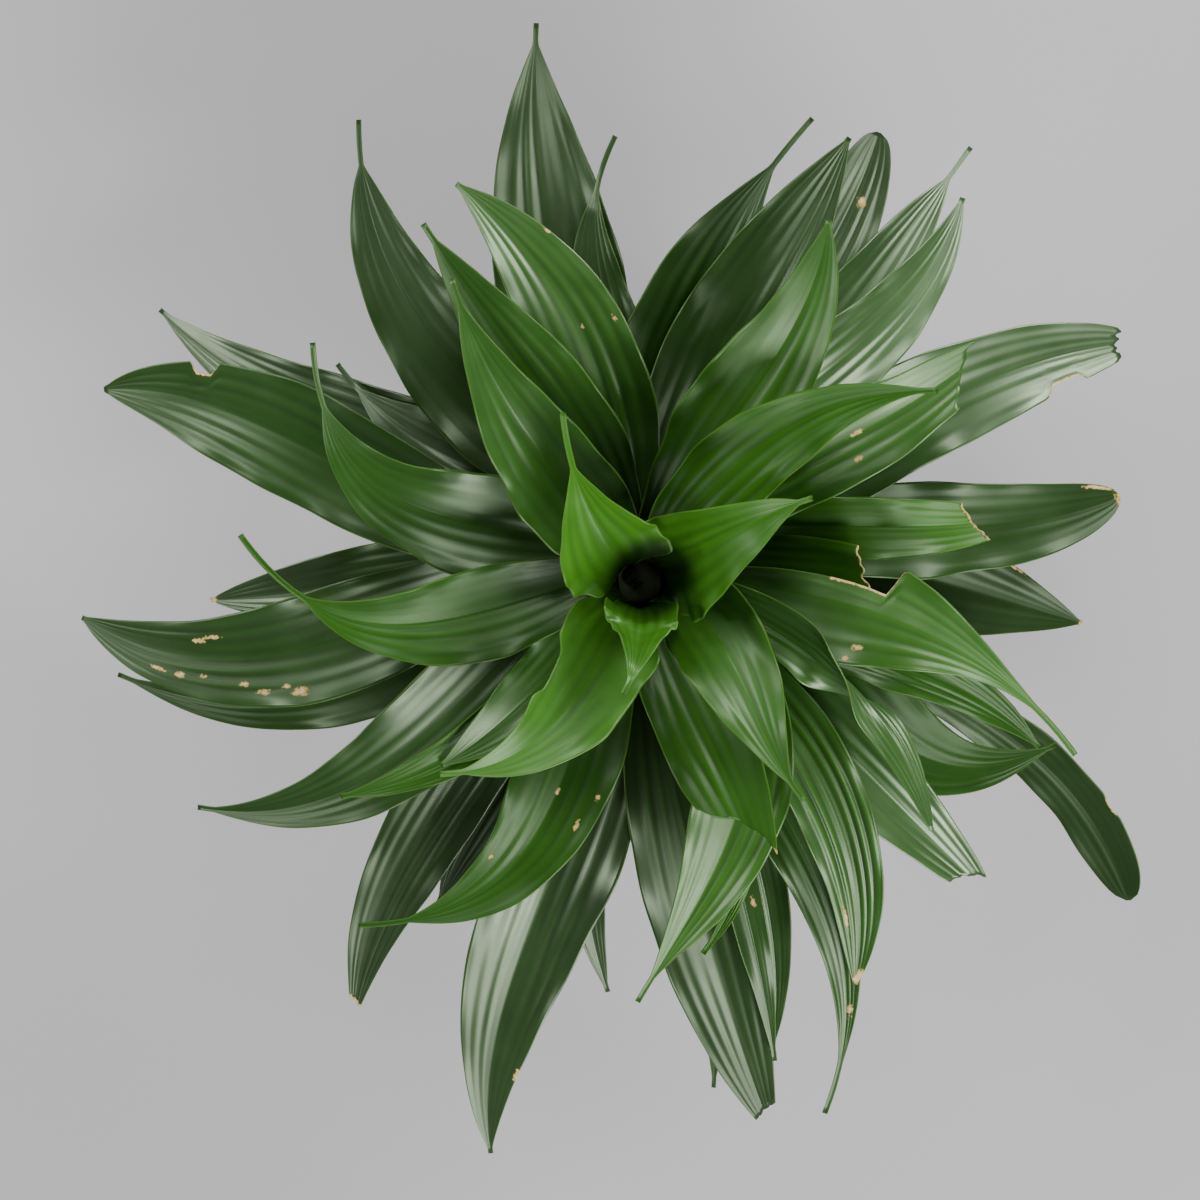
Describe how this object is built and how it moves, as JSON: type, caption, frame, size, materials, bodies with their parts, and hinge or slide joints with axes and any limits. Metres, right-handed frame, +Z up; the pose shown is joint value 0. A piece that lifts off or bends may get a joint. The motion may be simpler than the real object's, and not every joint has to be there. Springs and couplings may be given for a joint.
{
  "type": "potted dracaena",
  "caption": "Compact dracaena: a dense rosette of pleated dark green strap leaves on a short cane, standing in soil in a plain tapered clay pot.",
  "frame": {"origin": "middle of the pot's flat underside, on the surface it stands on", "axes": "+Z up along the pot's axis and the cane; +X to the right and +Y to the top of the plant as seen from above in the picture"},
  "size_m": [0.4297, 0.4531, 0.385],
  "materials": {
    "leaf_dark": "satin",
    "leaf_green": "satin",
    "leaf_fresh": "satin",
    "leaf_heart": "satin",
    "cane": "matte",
    "soil": "matte",
    "clay": "matte"
  },
  "bodies": {
    "root": {"leaf_01": "leaf_dark", "leaf_02": "leaf_green", "leaf_03": "leaf_dark", "leaf_04": "leaf_dark", "leaf_05": "leaf_dark", "leaf_06": "leaf_dark", "leaf_07": "leaf_dark", "leaf_08": "leaf_dark", "leaf_09": "leaf_dark", "leaf_10": "leaf_dark", "leaf_11": "leaf_dark", "leaf_12": "leaf_dark", "leaf_13": "leaf_green", "leaf_14": "leaf_green", "leaf_15": "leaf_dark", "leaf_16": "leaf_dark", "leaf_17": "leaf_dark", "leaf_18": "leaf_dark", "leaf_19": "leaf_green", "leaf_20": "leaf_green", "leaf_21": "leaf_green", "leaf_22": "leaf_green", "leaf_23": "leaf_green", "leaf_24": "leaf_green", "leaf_25": "leaf_dark", "leaf_26": "leaf_dark", "leaf_27": "leaf_green", "leaf_28": "leaf_green", "leaf_29": "leaf_green", "leaf_30": "leaf_green", "leaf_31": "leaf_green", "leaf_32": "leaf_fresh", "leaf_33": "leaf_green", "leaf_34": "leaf_green", "leaf_35": "leaf_fresh", "leaf_36": "leaf_heart", "leaf_37": "leaf_fresh", "leaf_38": "leaf_green", "leaf_39": "leaf_fresh", "leaf_40": "leaf_fresh", "leaf_41": "leaf_fresh", "leaf_42": "leaf_green", "leaf_43": "leaf_fresh", "leaf_44": "leaf_fresh", "leaf_45": "leaf_fresh", "leaf_46": "leaf_fresh", "leaf_47": "leaf_fresh", "leaf_48": "leaf_fresh", "leaf_49": "leaf_fresh", "leaf_50": "leaf_fresh", "leaf_51": "leaf_heart", "leaf_52": "leaf_heart", "leaf_53": "leaf_heart", "leaf_54": "leaf_heart", "leaf_55": "leaf_heart", "cane": "cane", "soil": "soil", "pot": "clay"}
  },
  "joints": []
}
